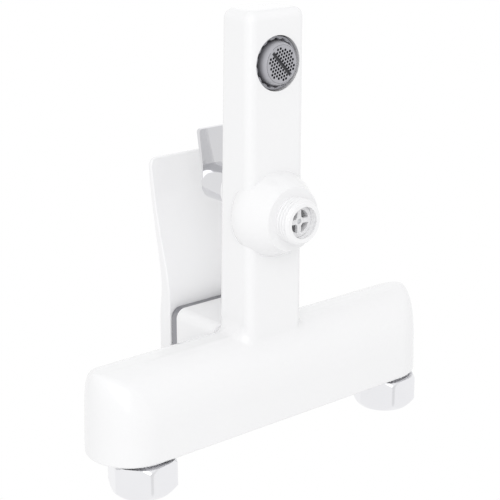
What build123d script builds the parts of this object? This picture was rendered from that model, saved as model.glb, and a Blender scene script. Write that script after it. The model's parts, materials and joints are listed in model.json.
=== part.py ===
from build123d import *
import math
import os

os.makedirs("parts", exist_ok=True)

# Frame: X right, Y towards the wall, Z up, origin midway between the inlets on the nut faces.

# Driving dimensions
inlet_spacing = 150.0
inlet_x = inlet_spacing / 2

# Bar
bar_mid_z = 8.4
bar_back_y = -16.0
bar_back_round = 1.5

# Bar outline from the wall side outwards: height along Y, half length, half depth
bar_straight = [
    (bar_back_y, 95.9, 21.4),
    (-32.5, 95.4, 21.3),
]
bar_pillow = [
    bar_straight[-1],
    (-42.0, 95.3, 19.8),
    (-50.2, 95.1, 15.4),
    (-55.5, 94.4, 9.0),
    (-57.4, 93.3, 3.0),
]

# Spout
spout_half_x = 16.3
spout_bottom_z = -3.5
spout_root_top_z = 20.6
spout_tip_top_z = 16.6
spout_tip_y = -206.6
spout_root_y = -42.0
spout_tip_corner = 4.5
spout_under_round = 4.4
spout_upper_round = 4.0
spout_root_blend = 6.0
pick_margin = 2.0

# Cartridge block
axis_y = -37.5
block_half = 21.5
block_top_z = 46.0
block_corner = 5.0
block_edge = 0.8
block_foot_z = 17.0

# Cartridge pocket and stack heights
housing_r = 17.4
housing_wall = 1.7
housing_gap = 0.3
pocket_floor_z = 10.0
pocket_r = housing_r + housing_gap
clamp_ledge = 1.3
clamp_r = pocket_r + clamp_ledge
clamp_floor_z = 40.0
base_flange_z = 12.5
base_top_z = 15.0
disc_pocket_r = housing_r - housing_wall
spigot_gap = 0.1
base_spigot_r = disc_pocket_r - spigot_gap
fixed_disc_r = base_spigot_r - spigot_gap
fixed_disc_top_z = 19.0
disc_step = 2.1
moving_disc_r = fixed_disc_r - disc_step
moving_disc_top_z = 23.0
moving_disc_offset = 1.8
carrier_top_z = 28.0
carrier_half_x = 10.3
carrier_step_z = 24.8
collar_under_z = 31.2
turret_flange_r = disc_pocket_r - housing_gap
turret_flange_under_z = 28.3
turret_flange_top_z = 31.0
turret_gap = 0.06
turret_top_z = 44.5
turret_slot_x = 4.1
turret_slot_y = 7.5
rail_inner_x = 10.4
rail_outer_x = 12.6
rail_half_y = 6.0
rail_under_z = 25.0
port_x = 8.0
port_y = -4.5
port_r = 2.6
outlet_port_y = 3.0
outlet_port_r = 3.5
seal_gap = 0.2
seal_width = 1.4
base_seal_depth = 1.2
disc_seal_depth = 1.0
peg_x = 12.5
peg_y = 6.0
peg_r = 1.6
peg_depth = 2.0
peg_gap = 0.15
cavity_half_x = 7.5
cavity_front_y = -1.2
cavity_back_y = 7.0
cavity_depth = 2.2
cavity_corner = 2.0
dowel_r = 1.5
dowel_y = 8.0
dowel_length = 1.2
dowel_clear = 0.1
dowel_floor_z = 21.6
socket_floor_z = 24.2

# Stem, pin and screw
pivot_z = 38.0
ball_arm = 11.2
ball_r = 2.4
socket_r = 2.5
stem_pin_r = 1.6
stem_pin_recess = 1.5
pin_clear = 0.05
stem_eye_half_x = 4.0
stem_eye_r = 4.6
stem_neck_r = 1.7
stem_square = 8.0
stem_top_z = 53.5
stem_fit = 0.05
screw_r = 2.0
screw_head_r = 3.6
screw_head_height = 1.7
screw_head_gap = 0.3
screw_seat_z = 55.4
screw_end_z = 47.5
screw_hex = 2.5
screw_hex_depth = 1.2

# Trim ring
trim_half = 20.8
trim_corner = 5.0
trim_top_z = 50.4
clamp_wall = 4.0
clamp_bore_r = clamp_r - clamp_wall
trim_spigot_r = clamp_bore_r - spigot_gap
trim_spigot_wall = 1.9
trim_bore_r = trim_spigot_r - trim_spigot_wall
trim_spigot_z = 42.0
turret_clear = 1.0
turret_neck_r = trim_bore_r - turret_clear
clamp_top_z = 45.8
clamp_slot_width = 4.0
clamp_slot_depth = 2.0

# Lever
lever_half_x = 21.8
lever_back_y = -22.5
lever_slope_y = -39.5
lever_tip_y = -130.4
lever_under_z = 50.7
lever_top_z = 59.0
lever_back_under_z = 56.9
lever_upper_curve = [(-50.0, 59.0), (-65.0, 57.4), (-80.0, 58.6), (-97.0, 61.8), (-116.0, 64.9)]
lever_lower_curve = [(-110.0, 61.0), (-91.0, 56.6), (-72.0, 51.8), (-59.0, 50.7)]
lever_tip_top_z = 66.2
lever_tip_under_z = 64.1
lever_tip_rise = 0.09
lever_under_rise = 0.15
lever_tip_corner = 4.0
lever_back_corner = 5.0
lever_edge = 0.8
lever_socket_top_z = 53.7
cap_r = 5.5
cap_pocket_z = 57.2
cap_height = 1.7
cap_gap = 0.1

# Waterways
way_r = 3.8
way_z = 4.4
bath_r = 2.8
bath_z = 12.5
feed_r = 4.0
feed_z = 0.0
feed_overrun = 0.6
inlet_bore_r = 6.0
inlet_bore_end_y = -47.0

# Union tail and nut
union_nut_across = 28.5
nut_left_deg = 9.3
nut_right_deg = 3.5
nut_length = 15.4
nut_collar = 3.4
nut_thread_r = 12.06
nut_thread_length = 7.6
nut_relief_r = 12.3
nut_chamfer = 1.6
nut_wall_round = 3.2
tail_barrel_r = 10.6
tail_gap = 0.08
tail_flange_r = 11.9
tail_flange = 2.4
tail_thread_r = 10.4775
tail_thread_length = 11.0
tail_bore_r = 7.0
tail_flange_gap = 0.1
washer_r = 11.8
washer_bore_r = 7.4
washer_thick = 2.0
strainer_fit = 0.05
strainer_thick = 0.8
strainer_y = -15.0
strainer_hole_r = 1.0
hole_sides = 6
strainer_ring_r = 4.6
strainer_holes = 10
strainer_inner_r = 2.0
strainer_inner_holes = 4

# Diverter
diverter_y = -121.0
diverter_boss_r = 11.8
diverter_boss_top_z = 23.4
diverter_boss_edge = 0.8
chamber_r = 9.0
chamber_floor_z = -0.5
plug_gap = 0.07
plug_top_z = 17.8
plug_wall = 2.1
plug_floor = 1.6
plug_roof = 1.9
window_clear = 0.2
shower_port_offset = 5.2
shower_port_r = 2.8
bonnet_thread_r = 10.2
bonnet_step_z = 20.0
bonnet_under_z = 19.6
bonnet_skirt_r = 8.8
bonnet_neck_r = 7.6
bonnet_top_z = 30.9
spindle_r = 3.5
spindle_gap = 0.06
spindle_shoulder_r = 6.4
spindle_shoulder_z = 18.0
spindle_shoulder = 1.4
spindle_top_z = 38.5
tang_half = 2.2
tang_fit = 0.05
o_ring_z = 25.0
o_ring_wire = 1.3
o_ring_sides = 8
knob_r = 9.0
knob_foot_r = 8.5
knob_foot = 0.5
knob_under_z = 23.9
knob_top_z = 41.0
knob_cavity_r = 7.9
knob_cavity_z = 31.6
paddle_half_x = 8.7
paddle_slope_y = -126.3
paddle_tip_y = -146.4
paddle_tip_top_z = 44.7
paddle_tip_under_z = 42.6
paddle_neck_z = 40.0
paddle_tip_corner = 1.8
knob_screw_r = 1.4
knob_screw_z = 35.0
knob_screw_length = 4.9
knob_screw_gap = 0.05

# Shower outlet
nipple_y = -114.3
flare_curve = [(16.0, 9.0), (20.8, 1.0), (18.5, -7.0), (14.8, -14.5)]
flare_end_z = -14.5
nipple_thread_r = 10.4775
nipple_end_z = -22.0
nipple_shank_r = 9.0
nipple_shank_top_z = -5.0
nipple_seat_z = -4.0
nipple_bore_r = 7.3
nipple_step_z = -10.0
nipple_inner_r = 5.0
nipple_chamfer = 1.3

# Check valve in the shower outlet
valve_r = 7.2
valve_end_z = -18.6
valve_inner_r = 5.4
valve_seat_r = 3.6
valve_seat = 1.4
poppet_r = 4.6
poppet_disc = 1.2
poppet_stem_r = 1.1
poppet_stem_gap = 0.08
poppet_stem_end_z = -18.2
spider_bar = 2.2
spider_height = 1.6
spider_hub_r = 2.3
spring_r = 2.2
spring_wire_r = 0.25
spring_turns = 4
spring_wire_sides = 6
spring_gap = 0.1

# Aerator
aerator_from_tip = 23.6
aerator_y = spout_tip_y + aerator_from_tip
opening_r = 12.4
ring_z = 0.8
aerator_thread_r = 11.6
aerator_bore_top_z = 9.4
aerator_chamber_r = 8.5
aerator_chamber_top_z = 15.6
shell_flange_r = 12.2
shell_flange = 2.0
shell_inner_r = 10.4
shell_lip_r = 10.05
shell_lip_top_z = 1.4
shell_top_z = 7.5
face_z = -6.2
face_r = 8.9
face_root_r = 9.9
face_bore_r = 7.6
face_thick = 1.3
face_top_z = 2.7
face_shoulder_r = 10.3
hole_r = 0.48
hole_pitch = 1.6
hole_field_r = 7.1
coin_slot_length = 15.6
coin_slot_width = 1.7
coin_slot_depth = 0.9
coin_slot_deg = 46.6
intake_slots = 8
intake_slot_r = 10.95
intake_slot_deg = 27.0
core_r = 10.2
core_under_z = 2.8
core_top_z = 5.6
core_hole_r = 1.7
core_hole_ring_r = 6.6
core_holes = 9
screen_under_z = 5.7
screen_thick = 0.6
aerator_washer_r = 11.4
aerator_washer_bore_r = 8.6
aerator_washer_top_z = 9.3

# Body casting: pillow shaped bar, spout, flared outlet boss, diverter boss and cartridge block
with BuildPart() as bar:
    for span in (bar_straight, bar_pillow):
        for y, half_x, half_z in span:
            with BuildSketch(Plane(origin=(0, y, bar_mid_z), x_dir=(1, 0, 0), z_dir=(0, -1, 0))):
                SlotOverall(2 * half_x, 2 * half_z)
        loft()
    fillet(bar.faces().sort_by(Axis.Y)[-1].edges(), bar_back_round)

with BuildPart() as spout:
    with BuildSketch(Plane(origin=(0, 0, 0), x_dir=(0, 1, 0), z_dir=(1, 0, 0))):
        with BuildLine():
            Polyline(
                (spout_root_y, spout_bottom_z),
                (spout_root_y, spout_root_top_z),
                (spout_tip_y, spout_tip_top_z),
                (spout_tip_y, spout_bottom_z),
                close=True,
            )
        make_face()
    extrude(amount=spout_half_x, both=True)
    fillet(spout.edges().filter_by(Axis.Z).group_by(Axis.Y)[0], spout_tip_corner)
    under = spout.faces().sort_by(Axis.Z)[0].edges()
    fillet(under.filter_by(lambda e: e.center().Y < spout_root_y - pick_margin), spout_under_round)
    upper = spout.faces().sort_by(Axis.Z)[-1].edges()
    fillet(upper.filter_by(lambda e: e.center().Y < spout_root_y - pick_margin), spout_upper_round)

with BuildPart() as flare:
    with BuildSketch(Plane(origin=(0, nipple_y, 0), x_dir=(1, 0, 0), z_dir=(0, -1, 0))):
        with BuildLine():
            Spline(*flare_curve)
            Polyline(flare_curve[-1], (0, flare_end_z), (0, flare_curve[0][1]), flare_curve[0])
        make_face()
    revolve(axis=Axis((0, nipple_y, 0), (0, 0, 1)))

with BuildPart() as block:
    with BuildSketch(Plane.XY.offset(block_foot_z)):
        with Locations((0, axis_y)):
            RectangleRounded(2 * block_half, 2 * block_half, block_corner)
    extrude(amount=block_top_z - block_foot_z)
    fillet(block.faces().sort_by(Axis.Z)[-1].edges(), block_edge)

with BuildPart() as boss:
    with BuildSketch(Plane.XY.offset(way_z)):
        with Locations((0, diverter_y)):
            Circle(diverter_boss_r)
    extrude(amount=diverter_boss_top_z - way_z)
    fillet(boss.faces().sort_by(Axis.Z)[-1].edges(), diverter_boss_edge)


def well(x, y, radius, low_z, high_z):
    with BuildSketch(Plane.XY.offset(low_z)) as face:
        with Locations((x, y)):
            Circle(radius)
    extrude(face.sketch, amount=high_z - low_z, mode=Mode.SUBTRACT)


with BuildPart() as mixer_body:
    add(bar.part)
    add(spout.part)
    front_y = bar_pillow[-1][0] - pick_margin
    root = mixer_body.edges().filter_by(lambda e: front_y < e.center().Y < spout_root_y)
    root = root.filter_by(lambda e: abs(e.center().X) < spout_half_x + pick_margin)
    root = root.filter_by(lambda e: spout_bottom_z - pick_margin < e.center().Z)
    root = root.filter_by(lambda e: e.center().Z < spout_root_top_z + pick_margin)
    fillet(root, spout_root_blend)
    add(flare.part)
    add(boss.part)
    add(block.part)
    # Cartridge pocket with its clamp thread and locating holes
    well(0, axis_y, pocket_r, pocket_floor_z, clamp_floor_z)
    well(0, axis_y, clamp_r, clamp_floor_z, block_top_z)
    for side in (-1, 1):
        well(side * peg_x, axis_y + peg_y, peg_r + peg_gap, pocket_floor_z - peg_depth, pocket_floor_z)
    # Hot and cold feeds from the wall to the pocket
    for side in (-1, 1):
        with BuildSketch(Plane(origin=(side * inlet_x, bar_back_y, 0), z_dir=(0, -1, 0))):
            Circle(tail_thread_r)
        extrude(amount=tail_thread_length, mode=Mode.SUBTRACT)
        with BuildSketch(Plane(origin=(side * inlet_x, bar_back_y, 0), z_dir=(0, -1, 0))):
            Circle(inlet_bore_r)
        extrude(amount=bar_back_y - inlet_bore_end_y, mode=Mode.SUBTRACT)
        with BuildSketch(Plane(origin=(side * inlet_x, axis_y + port_y, feed_z), z_dir=(-side, 0, 0))):
            Circle(feed_r)
        extrude(amount=inlet_x - port_x + port_r + feed_overrun, mode=Mode.SUBTRACT)
        well(side * port_x, axis_y + port_y, port_r, feed_z, pocket_floor_z)
    # Mixed water from the pocket to the diverter chamber, and on to the aerator
    well(0, axis_y + outlet_port_y, outlet_port_r, way_z, pocket_floor_z)
    with BuildSketch(Plane(origin=(0, axis_y + outlet_port_y + outlet_port_r, way_z), z_dir=(0, -1, 0))):
        Circle(way_r)
    extrude(amount=axis_y + outlet_port_y + outlet_port_r - diverter_y, mode=Mode.SUBTRACT)
    well(0, diverter_y, chamber_r, chamber_floor_z, bonnet_step_z)
    well(0, diverter_y, bonnet_thread_r, bonnet_step_z, diverter_boss_top_z)
    with BuildSketch(Plane(origin=(0, diverter_y, bath_z), z_dir=(0, -1, 0))):
        Circle(bath_r)
    extrude(amount=diverter_y - aerator_y, mode=Mode.SUBTRACT)
    # Shower outlet
    well(0, diverter_y + shower_port_offset, shower_port_r, nipple_seat_z, chamber_floor_z)
    well(0, nipple_y, nipple_shank_r, flare_end_z, nipple_seat_z)
    # Aerator recess, thread and chamber
    well(0, aerator_y, opening_r, spout_bottom_z, ring_z + shell_flange)
    well(0, aerator_y, aerator_thread_r, ring_z + shell_flange, aerator_bore_top_z)
    well(0, aerator_y, aerator_chamber_r, aerator_bore_top_z, aerator_chamber_top_z)


def turned(profile, x, y):
    with BuildSketch(Plane(origin=(x, y, 0), x_dir=(1, 0, 0), z_dir=(0, -1, 0))) as face:
        with BuildLine():
            Polyline(*profile, close=True)
        make_face()
    revolve(face.sketch, axis=Axis((x, y, 0), (0, 0, 1)))


def turned_on_y(profile, x):
    with BuildSketch(Plane(origin=(x, 0, 0), x_dir=(1, 0, 0), z_dir=(0, 0, 1))) as face:
        with BuildLine():
            Polyline(*profile, close=True)
        make_face()
    revolve(face.sketch, axis=Axis((x, 0, 0), (0, 1, 0)))


# Inlet tails, nuts, washers and strainers
nut_corner_r = union_nut_across / 2 / math.cos(math.pi / 6)
collar_y = nut_collar - nut_length
flange_y = collar_y + tail_flange_gap


def union_nut(x, turn):
    with BuildSketch(Plane(origin=(x, 0, 0), x_dir=(1, 0, 0), z_dir=(0, -1, 0))) as face:
        RegularPolygon(radius=nut_corner_r, side_count=6, rotation=turn)
    extrude(face.sketch, amount=nut_length)
    turned_outline = [
        (0, 0),
        (nut_corner_r - nut_wall_round, 0),
        (nut_corner_r, -nut_wall_round),
        (nut_corner_r, nut_chamfer - nut_length),
        (nut_corner_r - nut_chamfer, -nut_length),
        (0, -nut_length),
    ]
    with BuildSketch(Plane(origin=(x, 0, 0), x_dir=(1, 0, 0), z_dir=(0, 0, 1))) as face_2:
        with BuildLine():
            Polyline(*turned_outline, close=True)
        make_face()
    revolve(face_2.sketch, axis=Axis((x, 0, 0), (0, 1, 0)), mode=Mode.INTERSECT)
    bores = [
        (nut_thread_r, 0, nut_thread_length),
        (nut_relief_r, nut_thread_length, nut_length - nut_collar),
        (tail_barrel_r + tail_gap, 0, nut_length),
    ]
    for radius, start, end in bores:
        with BuildSketch(Plane(origin=(x, -start, 0), z_dir=(0, -1, 0))) as face_3:
            Circle(radius)
        extrude(face_3.sketch, amount=end - start, mode=Mode.SUBTRACT)


def inlet_tail(x):
    profile = [
        (tail_bore_r, flange_y + tail_flange),
        (tail_flange_r, flange_y + tail_flange),
        (tail_flange_r, flange_y),
        (tail_barrel_r, flange_y),
        (tail_barrel_r, bar_back_y),
        (tail_thread_r, bar_back_y),
        (tail_thread_r, bar_back_y - tail_thread_length),
        (tail_bore_r, bar_back_y - tail_thread_length),
    ]
    turned_on_y(profile, x)


def inlet_washer(x):
    foot = flange_y + tail_flange
    profile = [
        (washer_bore_r, foot),
        (washer_r, foot),
        (washer_r, foot + washer_thick),
        (washer_bore_r, foot + washer_thick),
    ]
    turned_on_y(profile, x)


def inlet_strainer(x):
    with BuildSketch(Plane(origin=(x, strainer_y, 0), z_dir=(0, -1, 0))) as face:
        Circle(tail_bore_r - strainer_fit)
        with PolarLocations(strainer_ring_r, strainer_holes):
            RegularPolygon(strainer_hole_r, hole_sides, mode=Mode.SUBTRACT)
        with PolarLocations(strainer_inner_r, strainer_inner_holes):
            RegularPolygon(strainer_hole_r, hole_sides, mode=Mode.SUBTRACT)
    extrude(face.sketch, amount=strainer_thick)


with BuildPart() as union_nut_left:
    union_nut(-inlet_x, nut_left_deg)
with BuildPart() as union_nut_right:
    union_nut(inlet_x, nut_right_deg)
with BuildPart() as inlet_tail_left:
    inlet_tail(-inlet_x)
with BuildPart() as inlet_tail_right:
    inlet_tail(inlet_x)
with BuildPart() as inlet_washer_left:
    inlet_washer(-inlet_x)
with BuildPart() as inlet_washer_right:
    inlet_washer(inlet_x)
with BuildPart() as inlet_strainer_left:
    inlet_strainer(-inlet_x)
with BuildPart() as inlet_strainer_right:
    inlet_strainer(inlet_x)

# Cartridge: base with its seals, ceramic discs, carrier, housing and turret
ports = [
    (-port_x, axis_y + port_y, port_r),
    (port_x, axis_y + port_y, port_r),
    (0, axis_y + outlet_port_y, outlet_port_r),
]


def port_rings(low_z, high_z, mode):
    for x, y, radius in ports:
        with BuildSketch(Plane.XY.offset(low_z)) as face:
            with Locations((x, y)):
                Circle(radius + seal_gap + seal_width)
                Circle(radius + seal_gap, mode=Mode.SUBTRACT)
        extrude(face.sketch, amount=high_z - low_z, mode=mode)


with BuildPart() as cartridge_base:
    with BuildSketch(Plane.XY.offset(pocket_floor_z)):
        with Locations((0, axis_y)):
            Circle(housing_r)
    extrude(amount=base_flange_z - pocket_floor_z)
    with BuildSketch(Plane.XY.offset(base_flange_z)):
        with Locations((0, axis_y)):
            Circle(base_spigot_r)
    extrude(amount=base_top_z - base_flange_z)
    with BuildSketch(Plane.XY.offset(pocket_floor_z - peg_depth)):
        with Locations((-peg_x, axis_y + peg_y), (peg_x, axis_y + peg_y)):
            Circle(peg_r)
    extrude(amount=peg_depth)
    for x, y, radius in ports:
        well(x, y, radius, pocket_floor_z, base_top_z)
    port_rings(pocket_floor_z, pocket_floor_z + base_seal_depth, Mode.SUBTRACT)
    port_rings(base_top_z - disc_seal_depth, base_top_z, Mode.SUBTRACT)

with BuildPart() as base_seals:
    port_rings(pocket_floor_z, pocket_floor_z + base_seal_depth, Mode.ADD)

with BuildPart() as disc_seals:
    port_rings(base_top_z - disc_seal_depth, base_top_z, Mode.ADD)

with BuildPart() as fixed_disc:
    with BuildSketch(Plane.XY.offset(base_top_z)):
        with Locations((0, axis_y)):
            Circle(fixed_disc_r)
        for x, y, radius in ports:
            with Locations((x, y)):
                Circle(radius, mode=Mode.SUBTRACT)
    extrude(amount=fixed_disc_top_z - base_top_z)

moving_y = axis_y + moving_disc_offset
with BuildPart() as moving_disc:
    with BuildSketch(Plane.XY.offset(fixed_disc_top_z)):
        with Locations((0, moving_y)):
            Circle(moving_disc_r)
    extrude(amount=moving_disc_top_z - fixed_disc_top_z)
    with BuildSketch(Plane.XY.offset(fixed_disc_top_z)):
        with Locations((0, axis_y + (cavity_front_y + cavity_back_y) / 2)):
            RectangleRounded(2 * cavity_half_x, cavity_back_y - cavity_front_y, cavity_corner)
    extrude(amount=cavity_depth, mode=Mode.SUBTRACT)
    for side in (-1, 1):
        well(0, moving_y + side * dowel_y, dowel_r + dowel_clear, dowel_floor_z, moving_disc_top_z)

with BuildPart() as disc_carrier:
    with BuildSketch(Plane.XY.offset(moving_disc_top_z)):
        with Locations((0, moving_y)):
            Circle(moving_disc_r)
    extrude(amount=carrier_step_z - moving_disc_top_z)
    with BuildSketch(Plane.XY.offset(carrier_step_z)):
        with Locations((0, moving_y)):
            Circle(moving_disc_r)
            Rectangle(2 * carrier_half_x, 4 * moving_disc_r, mode=Mode.INTERSECT)
    extrude(amount=carrier_top_z - carrier_step_z)
    with BuildSketch(Plane.XY.offset(moving_disc_top_z - dowel_length)):
        with Locations((0, moving_y - dowel_y), (0, moving_y + dowel_y)):
            Circle(dowel_r)
    extrude(amount=dowel_length)
    well(0, axis_y, socket_r, socket_floor_z, carrier_top_z)

with BuildPart() as cartridge_housing:
    housing_profile = [
        (disc_pocket_r, base_flange_z),
        (housing_r, base_flange_z),
        (housing_r, clamp_floor_z),
        (turret_neck_r + turret_gap, clamp_floor_z),
        (turret_neck_r + turret_gap, collar_under_z),
        (disc_pocket_r, collar_under_z),
    ]
    turned(housing_profile, 0, axis_y)

with BuildPart() as turret:
    turret_profile = [
        (0, turret_flange_under_z),
        (turret_flange_r, turret_flange_under_z),
        (turret_flange_r, turret_flange_top_z),
        (turret_neck_r, turret_flange_top_z),
        (turret_neck_r, turret_top_z),
        (0, turret_top_z),
    ]
    turned(turret_profile, 0, axis_y)
    with BuildSketch(Plane.XY.offset(rail_under_z)):
        for side in (-1, 1):
            with Locations((side * (rail_inner_x + rail_outer_x) / 2, axis_y)):
                Rectangle(rail_outer_x - rail_inner_x, 2 * rail_half_y)
    extrude(amount=turret_flange_under_z - rail_under_z)
    with BuildSketch(Plane.XY.offset(turret_flange_under_z)):
        with Locations((0, axis_y)):
            Rectangle(2 * turret_slot_x, 2 * turret_slot_y)
    extrude(amount=turret_top_z - turret_flange_under_z, mode=Mode.SUBTRACT)
    with BuildSketch(Plane(origin=(0, axis_y, pivot_z), z_dir=(1, 0, 0))):
        Circle(stem_pin_r)
    extrude(amount=turret_neck_r, both=True, mode=Mode.SUBTRACT)

with BuildPart() as stem_pin:
    with BuildSketch(Plane(origin=(0, axis_y, pivot_z), z_dir=(1, 0, 0))):
        Circle(stem_pin_r)
    extrude(amount=turret_neck_r - stem_pin_recess, both=True)

with BuildPart() as lever_stem:
    with Locations((0, axis_y, pivot_z - ball_arm)):
        Sphere(ball_r)
    with BuildSketch(Plane.XY.offset(pivot_z - ball_arm)):
        with Locations((0, axis_y)):
            Circle(stem_neck_r)
    extrude(amount=ball_arm)
    with BuildSketch(Plane(origin=(0, axis_y, pivot_z), z_dir=(1, 0, 0))):
        Circle(stem_eye_r)
    extrude(amount=stem_eye_half_x, both=True)
    with BuildSketch(Plane.XY.offset(pivot_z)):
        with Locations((0, axis_y)):
            Rectangle(stem_square, stem_square)
    extrude(amount=stem_top_z - pivot_z)
    with BuildSketch(Plane(origin=(0, axis_y, pivot_z), z_dir=(1, 0, 0))):
        Circle(stem_pin_r + pin_clear)
    extrude(amount=stem_square, both=True, mode=Mode.SUBTRACT)
    well(0, axis_y, screw_r, screw_end_z, stem_top_z)

with BuildPart() as clamp_nut:
    with BuildSketch(Plane.XY.offset(clamp_floor_z)):
        with Locations((0, axis_y)):
            Circle(clamp_r)
            Circle(clamp_bore_r, mode=Mode.SUBTRACT)
    extrude(amount=clamp_top_z - clamp_floor_z)
    with BuildSketch(Plane.XY.offset(clamp_top_z - clamp_slot_depth)):
        with Locations((0, axis_y)):
            Rectangle(2 * clamp_r, clamp_slot_width)
            Rectangle(clamp_slot_width, 2 * clamp_r)
    extrude(amount=clamp_slot_depth, mode=Mode.SUBTRACT)

with BuildPart() as trim_ring:
    with BuildSketch(Plane.XY.offset(block_top_z)):
        with Locations((0, axis_y)):
            RectangleRounded(2 * trim_half, 2 * trim_half, trim_corner)
    extrude(amount=trim_top_z - block_top_z)
    with BuildSketch(Plane.XY.offset(trim_spigot_z)):
        with Locations((0, axis_y)):
            Circle(trim_spigot_r)
    extrude(amount=block_top_z - trim_spigot_z)
    well(0, axis_y, trim_bore_r, trim_spigot_z, trim_top_z)

# Lever: side profile extruded across its width
with BuildPart() as lever:
    with BuildSketch(Plane(origin=(0, 0, 0), x_dir=(0, 1, 0), z_dir=(1, 0, 0))):
        with BuildLine():
            Polyline(
                lever_lower_curve[-1],
                (lever_slope_y, lever_under_z),
                (lever_back_y, lever_back_under_z),
                (lever_back_y, lever_top_z),
                lever_upper_curve[0],
            )
            Spline(
                *lever_upper_curve,
                (lever_tip_y, lever_tip_top_z),
                tangents=[(-1, 0), (-1, lever_tip_rise)],
            )
            Line((lever_tip_y, lever_tip_top_z), (lever_tip_y, lever_tip_under_z))
            Spline(
                (lever_tip_y, lever_tip_under_z),
                *lever_lower_curve,
                tangents=[(1, -lever_under_rise), (1, 0)],
            )
        make_face()
    extrude(amount=lever_half_x, both=True)
    uprights = lever.edges().filter_by(Axis.Z)
    fillet(uprights.group_by(Axis.Y)[0], lever_tip_corner)
    fillet(uprights.group_by(Axis.Y)[-1], lever_back_corner)
    rim = lever.faces().sort_by(Axis.Z)[-1].edges() + lever.faces().sort_by(Axis.Z)[0].edges()
    fillet(rim.filter_by(lambda e: e.center().Y < lever_slope_y), lever_edge)
    with BuildSketch(Plane.XY.offset(lever_under_z)):
        with Locations((0, axis_y)):
            Rectangle(stem_square + 2 * stem_fit, stem_square + 2 * stem_fit)
    extrude(amount=lever_socket_top_z - lever_under_z, mode=Mode.SUBTRACT)
    well(0, axis_y, screw_r + stem_fit, lever_socket_top_z, screw_seat_z)
    well(0, axis_y, screw_head_r + screw_head_gap, screw_seat_z, cap_pocket_z)
    well(0, axis_y, cap_r + cap_gap, cap_pocket_z, lever_top_z)

with BuildPart() as lever_screw:
    with BuildSketch(Plane.XY.offset(screw_end_z)):
        with Locations((0, axis_y)):
            Circle(screw_r)
    extrude(amount=screw_seat_z - screw_end_z)
    with BuildSketch(Plane.XY.offset(screw_seat_z)):
        with Locations((0, axis_y)):
            Circle(screw_head_r)
    extrude(amount=screw_head_height)
    with BuildSketch(Plane.XY.offset(screw_seat_z + screw_head_height - screw_hex_depth)):
        with Locations((0, axis_y)):
            RegularPolygon(radius=screw_hex / 2, side_count=6, major_radius=False)
    extrude(amount=screw_hex_depth, mode=Mode.SUBTRACT)

with BuildPart() as indicator_cap:
    with BuildSketch(Plane.XY.offset(cap_pocket_z)):
        with Locations((0, axis_y)):
            Circle(cap_r)
    extrude(amount=cap_height)

# Diverter: plug, spindle, bonnet, knob and their small parts
plug_r = chamber_r - plug_gap
plug_under_z = chamber_floor_z + plug_gap
with BuildPart() as diverter_plug:
    with BuildSketch(Plane.XY.offset(plug_under_z)):
        with Locations((0, diverter_y)):
            Circle(plug_r)
    extrude(amount=plug_top_z - plug_under_z)
    well(0, diverter_y, plug_r - plug_wall, plug_under_z + plug_floor, plug_top_z - plug_roof)
    with BuildSketch(Plane(origin=(0, diverter_y, way_z), z_dir=(0, 1, 0))):
        Circle(way_r - window_clear)
    extrude(amount=plug_r, mode=Mode.SUBTRACT)
    with BuildSketch(Plane(origin=(0, diverter_y, way_z), z_dir=(1, 0, 0))):
        Circle(way_r - window_clear)
    extrude(amount=plug_r, mode=Mode.SUBTRACT)
    with BuildSketch(Plane(origin=(0, diverter_y, bath_z), z_dir=(0, -1, 0))):
        Circle(bath_r - window_clear)
    extrude(amount=plug_r, mode=Mode.SUBTRACT)
    well(shower_port_offset, diverter_y, shower_port_r, plug_under_z, plug_under_z + plug_floor)
    with BuildSketch(Plane.XY.offset(plug_top_z - plug_roof)):
        with Locations((0, diverter_y)):
            Rectangle(2 * (tang_half + tang_fit), 2 * (tang_half + tang_fit))
    extrude(amount=plug_roof, mode=Mode.SUBTRACT)

with BuildPart() as diverter_spindle:
    with BuildSketch(Plane.XY.offset(plug_top_z - plug_roof)):
        with Locations((0, diverter_y)):
            Rectangle(2 * tang_half, 2 * tang_half)
    extrude(amount=spindle_shoulder_z - plug_top_z + plug_roof)
    with BuildSketch(Plane.XY.offset(spindle_shoulder_z)):
        with Locations((0, diverter_y)):
            Circle(spindle_shoulder_r)
    extrude(amount=spindle_shoulder)
    with BuildSketch(Plane.XY.offset(spindle_shoulder_z)):
        with Locations((0, diverter_y)):
            Circle(spindle_r)
    extrude(amount=spindle_top_z - spindle_shoulder_z)

bonnet_bore_r = spindle_r + spindle_gap
with BuildPart() as diverter_bonnet:
    bonnet_profile = [
        (bonnet_bore_r, bonnet_under_z),
        (bonnet_skirt_r, bonnet_under_z),
        (bonnet_skirt_r, bonnet_step_z),
        (bonnet_thread_r, bonnet_step_z),
        (bonnet_thread_r, diverter_boss_top_z),
        (bonnet_neck_r, diverter_boss_top_z),
        (bonnet_neck_r, bonnet_top_z),
        (bonnet_bore_r, bonnet_top_z),
        (bonnet_bore_r, o_ring_z + o_ring_wire),
        (bonnet_bore_r + o_ring_wire, o_ring_z + o_ring_wire),
        (bonnet_bore_r + o_ring_wire, o_ring_z),
        (bonnet_bore_r, o_ring_z),
    ]
    turned(bonnet_profile, 0, diverter_y)

with BuildPart() as diverter_o_ring:
    centre_r = bonnet_bore_r + o_ring_wire / 2
    centre_z = o_ring_z + o_ring_wire / 2
    ring_profile = []
    for step in range(o_ring_sides):
        angle = 2 * math.pi * (step + 0.5) / o_ring_sides
        reach = o_ring_wire / 2
        ring_profile.append((centre_r + reach * math.cos(angle), centre_z + reach * math.sin(angle)))
    turned(ring_profile, 0, diverter_y)

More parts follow.
